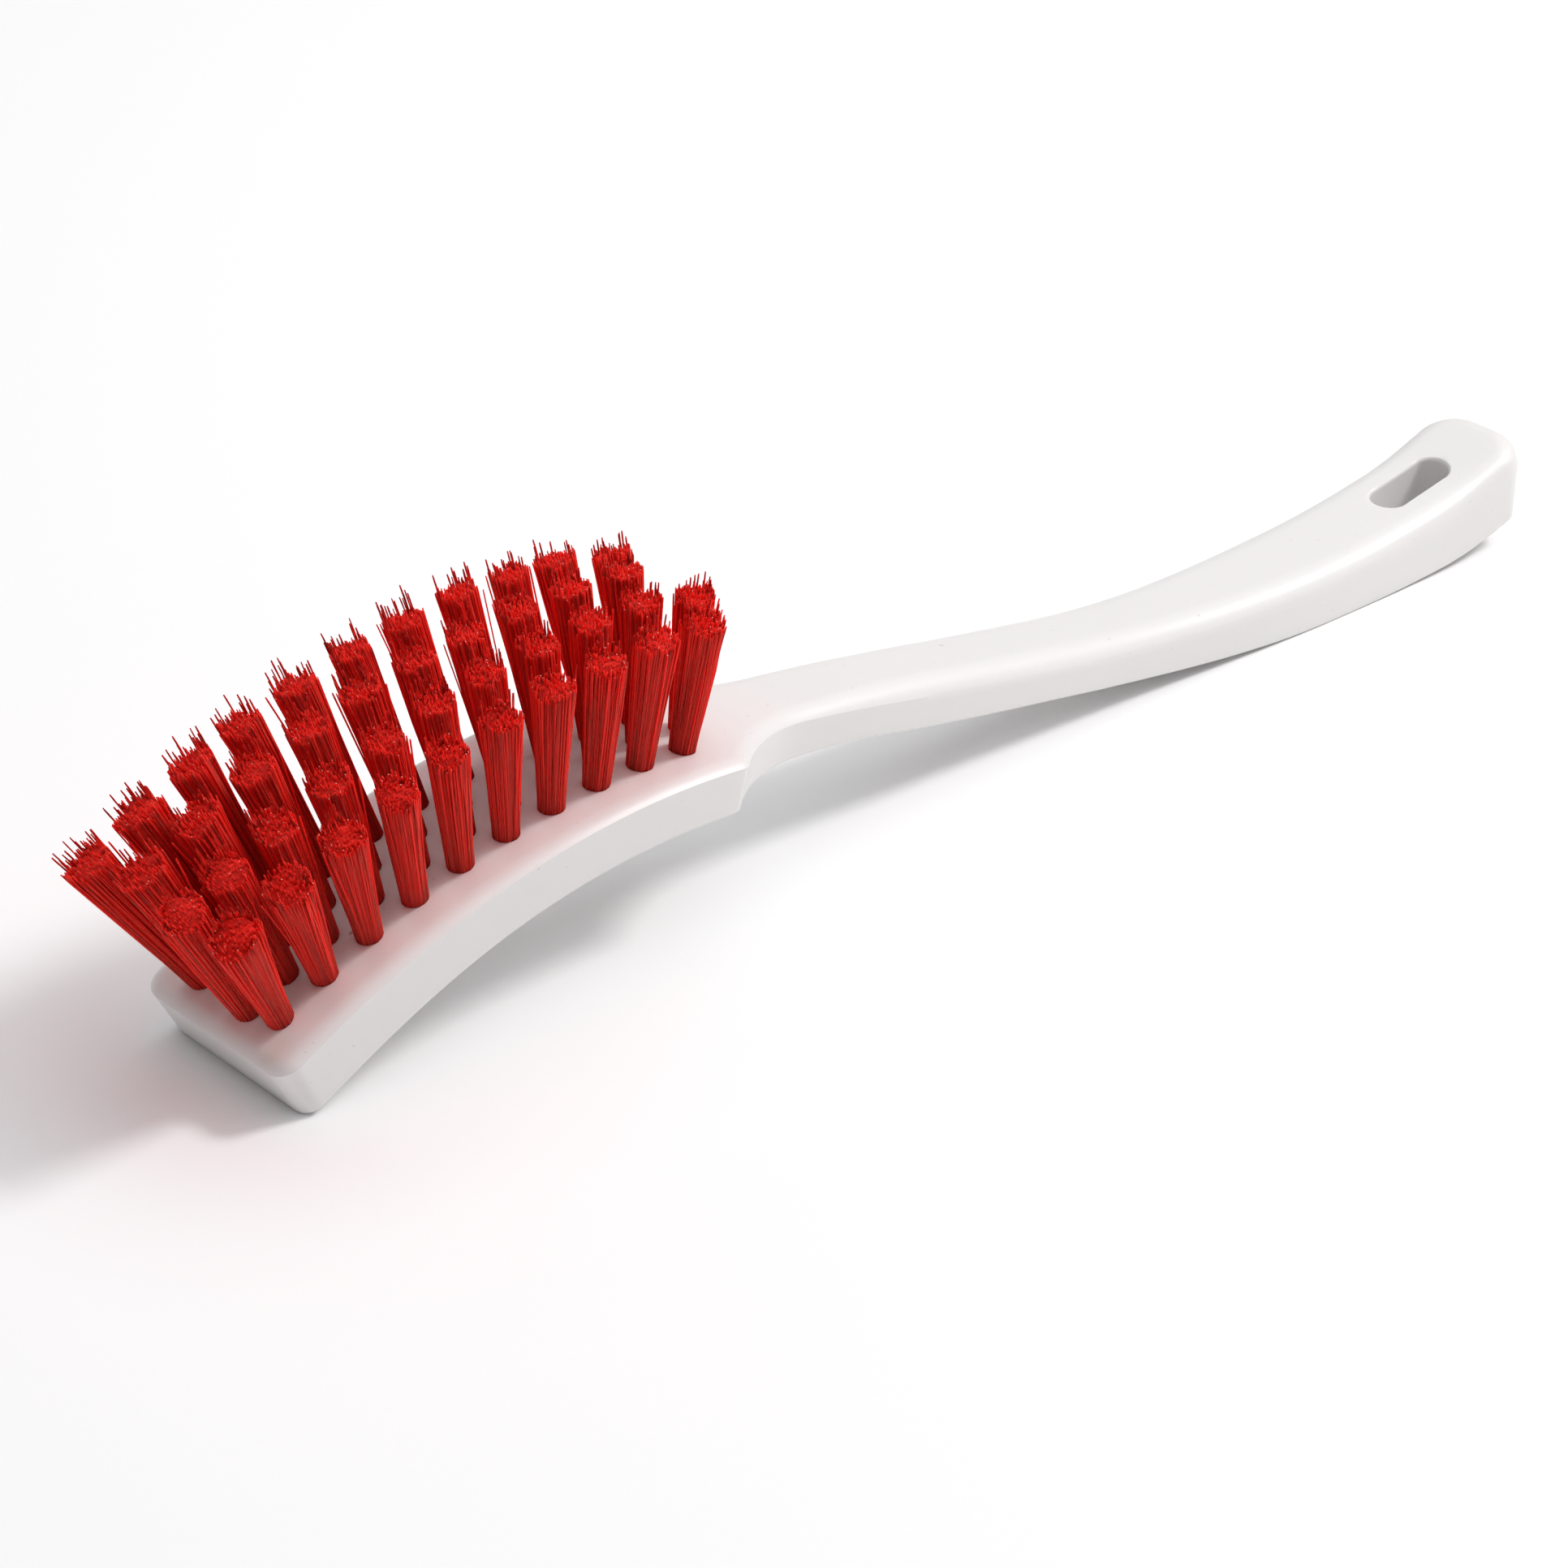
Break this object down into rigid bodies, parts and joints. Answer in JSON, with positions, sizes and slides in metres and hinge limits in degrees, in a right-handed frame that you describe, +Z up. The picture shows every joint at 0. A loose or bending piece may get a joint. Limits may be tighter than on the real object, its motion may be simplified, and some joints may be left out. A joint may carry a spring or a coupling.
{
  "type": "long-handled scrub brush",
  "caption": "One-piece moulded brush with an arched head, a waisted S-curved handle with a hang slot, and staggered rows of fanned bristle tufts for scrubbing.",
  "frame": {"origin": "middle of the brush's footprint, bristle tips included, on the surface that it lies on", "axes": "+X from the nose of the head to the end of the handle, +Y across the head, +Z up, towards the bristle tips"},
  "size_m": [0.4095, 0.0455, 0.0748],
  "materials": {
    "moulding": "satin",
    "bristle": "satin"
  },
  "bodies": {
    "root": {"brush_moulding": "moulding", "tuft_row1_01": "bristle", "tuft_row1_02": "bristle", "tuft_row1_03": "bristle", "tuft_row1_04": "bristle", "tuft_row1_05": "bristle", "tuft_row1_06": "bristle", "tuft_row1_07": "bristle", "tuft_row1_08": "bristle", "tuft_row1_09": "bristle", "tuft_row1_10": "bristle", "tuft_row2_01": "bristle", "tuft_row2_02": "bristle", "tuft_row2_03": "bristle", "tuft_row2_04": "bristle", "tuft_row2_05": "bristle", "tuft_row2_06": "bristle", "tuft_row2_07": "bristle", "tuft_row2_08": "bristle", "tuft_row2_09": "bristle", "tuft_row2_10": "bristle", "tuft_row2_11": "bristle", "tuft_row3_01": "bristle", "tuft_row3_02": "bristle", "tuft_row3_03": "bristle", "tuft_row3_04": "bristle", "tuft_row3_05": "bristle", "tuft_row3_06": "bristle", "tuft_row3_07": "bristle", "tuft_row3_08": "bristle", "tuft_row3_09": "bristle", "tuft_row3_10": "bristle", "tuft_row4_01": "bristle", "tuft_row4_02": "bristle", "tuft_row4_03": "bristle", "tuft_row4_04": "bristle", "tuft_row4_05": "bristle", "tuft_row4_06": "bristle", "tuft_row4_07": "bristle", "tuft_row4_08": "bristle", "tuft_row4_09": "bristle", "tuft_row4_10": "bristle", "tuft_row4_11": "bristle"}
  },
  "joints": []
}
